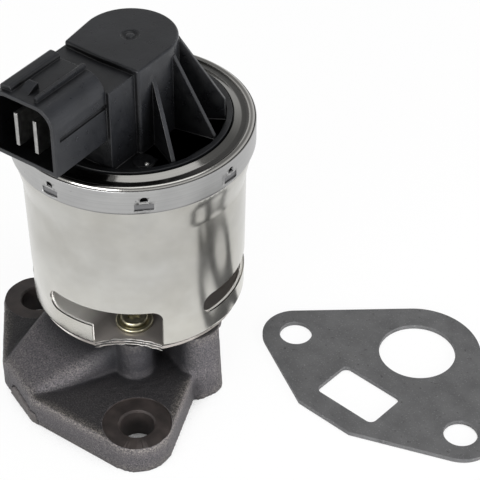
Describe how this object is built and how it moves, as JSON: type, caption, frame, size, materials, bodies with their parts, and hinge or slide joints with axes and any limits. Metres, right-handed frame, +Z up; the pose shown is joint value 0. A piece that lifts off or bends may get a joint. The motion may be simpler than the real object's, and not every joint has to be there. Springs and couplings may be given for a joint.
{
  "type": "egr valve",
  "caption": "Electric exhaust gas recirculation valve with a cast flange base, slotted metal solenoid can, plastic sensor cap with side connector, and its flange gasket.",
  "frame": {"origin": "midway between the two mounting bolt holes, on the flange face that meets the engine", "axes": "+Z up the valve, out of the flange face; -Y the way the connector's mouth points"},
  "size_m": [0.1375, 0.0992, 0.1045],
  "materials": {
    "casting": "as cast, dark, with machined faces",
    "seat_steel": "ground",
    "guide_steel": "turned and ground",
    "can_steel": "bright drawn stainless sheet",
    "zinc_screw": "yellow zinc plated",
    "dark_steel": "plain steel",
    "brass_sleeve": "drawn tube",
    "core_iron": "soft iron, turned",
    "copper_wire": "enamelled wire winding",
    "ring_steel": "satin rolled sheet",
    "black_plastic": "glass-filled moulding",
    "terminal_tin": "tin plated",
    "board": "circuit board",
    "seal_rubber": "moulded",
    "spring_steel": "bright wire",
    "graphite": "pressed graphite and steel sheet"
  },
  "bodies": {
    "valve": {"valve_body": "casting", "valve_seat": "seat_steel", "stem_guide": "guide_steel", "spacer_plate": "can_steel", "outer_can": "can_steel", "screw_washers": "zinc_screw", "can_screws": "zinc_screw", "pedestal": "dark_steel", "magnet_case": "dark_steel", "armature_sleeve": "brass_sleeve", "fixed_core": "core_iron", "bobbin": "black_plastic", "coil_winding": "copper_wire", "crimp_ring": "ring_steel", "sensor_cap": "black_plastic", "key_blades": "terminal_tin", "terminal_pins": "terminal_tin", "sensor_board": "board", "plunger_guide": "black_plastic", "plunger_seal": "seal_rubber", "cap_seal": "seal_rubber", "return_spring": "spring_steel", "sensor_spring": "spring_steel"},
    "pintle": {"pintle": "guide_steel", "armature": "core_iron", "retainer_clip": "spring_steel"},
    "plunger": {"sensor_plunger": "black_plastic", "wiper_carrier": "black_plastic", "wiper_contact": "terminal_tin"},
    "gasket": {"flange_gasket": "graphite"}
  },
  "joints": [
    {"name": "pintle_lift", "type": "slide", "parent": "valve", "child": "pintle", "axis": [0, 0, 1], "range_m": [0, 0.0035], "stiffness_N_per_m": 1500, "deforming": ["return_spring"]},
    {"name": "plunger_follow", "type": "slide", "parent": "valve", "child": "plunger", "axis": [0, 0, 1], "range_m": [0, 0.0035], "stiffness_N_per_m": 200, "deforming": ["sensor_spring"]},
    {"name": "gasket_lift", "type": "slide", "parent": "valve", "child": "gasket", "axis": [0, 0, 1], "range_m": [0, 0.012]}
  ],
  "couplings": [
    {"joint": "plunger_follow", "follows": "pintle_lift", "ratio": 1}
  ]
}
